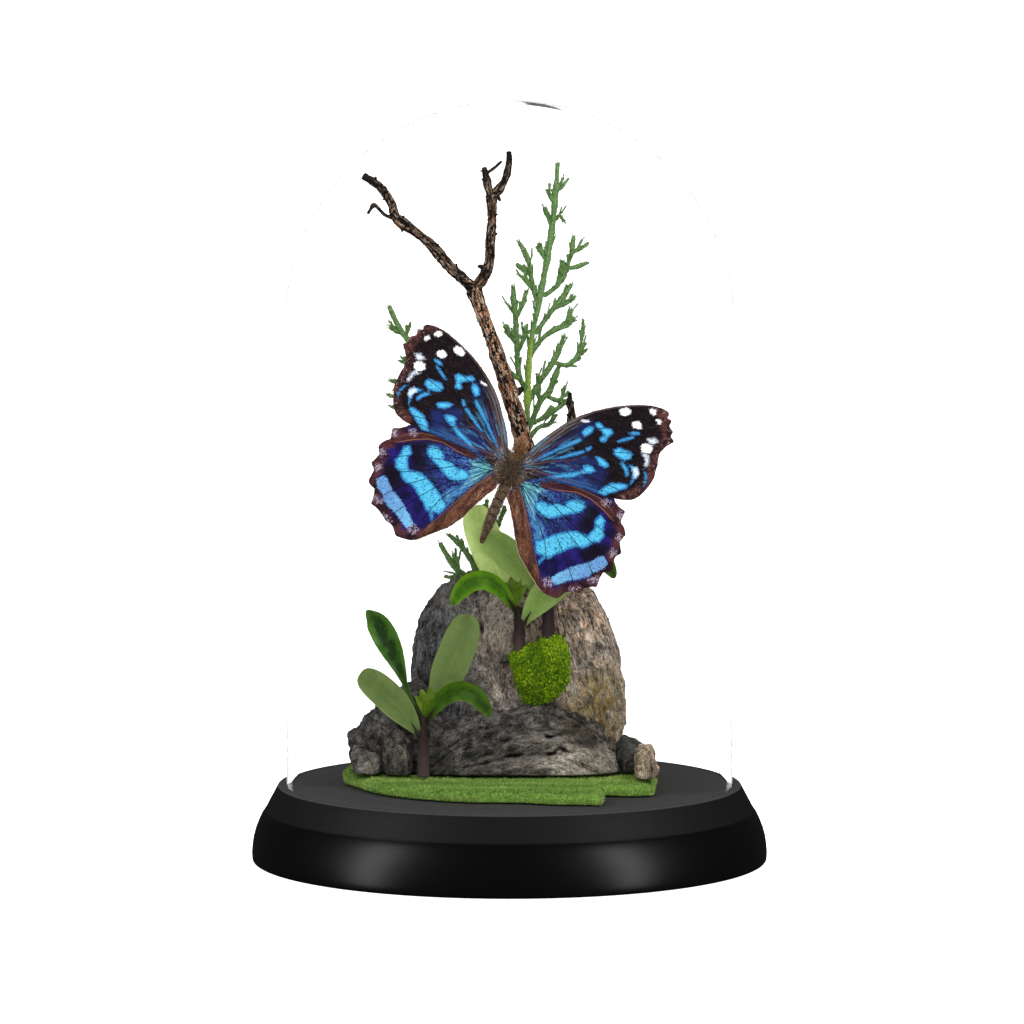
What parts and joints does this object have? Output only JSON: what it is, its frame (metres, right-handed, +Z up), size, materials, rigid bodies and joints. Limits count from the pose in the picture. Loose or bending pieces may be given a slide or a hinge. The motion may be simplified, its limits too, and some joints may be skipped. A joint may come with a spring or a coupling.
{
  "type": "insect in glass dome",
  "caption": "Spread blue butterfly on a forked branch above rocks, moss and seedlings, on a round black base under a tall glass dome.",
  "frame": {"origin": "middle of the underside of the round base", "axes": "+Z up through the top of the dome, -Y towards the front that the butterfly faces, +X to the right seen from the front"},
  "size_m": [0.13, 0.13, 0.1904],
  "materials": {
    "base_black": "black lacquer, gloss side and satin top",
    "glass": "clear",
    "turf": "short green pile",
    "stone": "rough layered",
    "moss": "granular, bright",
    "bark": "rough flaking bark",
    "sprig": "dried cypress green",
    "stem": "fleshy, purple brown",
    "leaf": "satin, pale green",
    "leaf_gloss": "glossy green",
    "insect_body": "hairy, dark brown",
    "wing": "scaled, blue bands on black"
  },
  "bodies": {
    "root": {"base": "base_black", "glass_dome": "glass", "turf_mat": "turf", "rock_boulder": "stone", "rock_shoulder": "stone", "rock_ledge": "stone", "rock_slab_left": "stone", "rock_stone_left": "stone", "rock_stone_right": "stone", "rock_stone_back": "stone", "moss_patch": "moss", "branch_trunk": "bark", "branch_limb_left": "bark", "branch_limb_right": "bark", "branch_fork_left": "bark", "branch_fork_right": "bark", "branch_twig_left": "bark", "branch_twig_right": "bark", "branch_twig_back": "bark", "branch_stub": "bark", "sprig_right": "sprig", "sprig_left": "sprig", "sprig_low": "sprig", "seedling_a_stem": "stem", "seedling_a_leaf_wavy": "leaf", "seedling_a_leaf_low": "leaf", "seedling_a_leaf_high": "leaf", "seedling_a_leaf_arched": "leaf_gloss", "seedling_a_bud": "leaf_gloss", "seedling_b_stem": "stem", "seedling_b_leaf_low": "leaf", "seedling_b_leaf_high": "leaf", "seedling_b_leaf_arched": "leaf_gloss", "seedling_b_bud": "leaf_gloss", "seedling_c_stem": "stem", "seedling_c_leaf_low": "leaf", "seedling_c_leaf_arched": "leaf_gloss", "seedling_c_bud": "leaf_gloss", "butterfly_thorax": "insect_body", "butterfly_head": "insect_body", "butterfly_abdomen": "insect_body", "forewing_right": "wing", "forewing_left": "wing", "hindwing_right": "wing", "hindwing_left": "wing"}
  },
  "joints": []
}
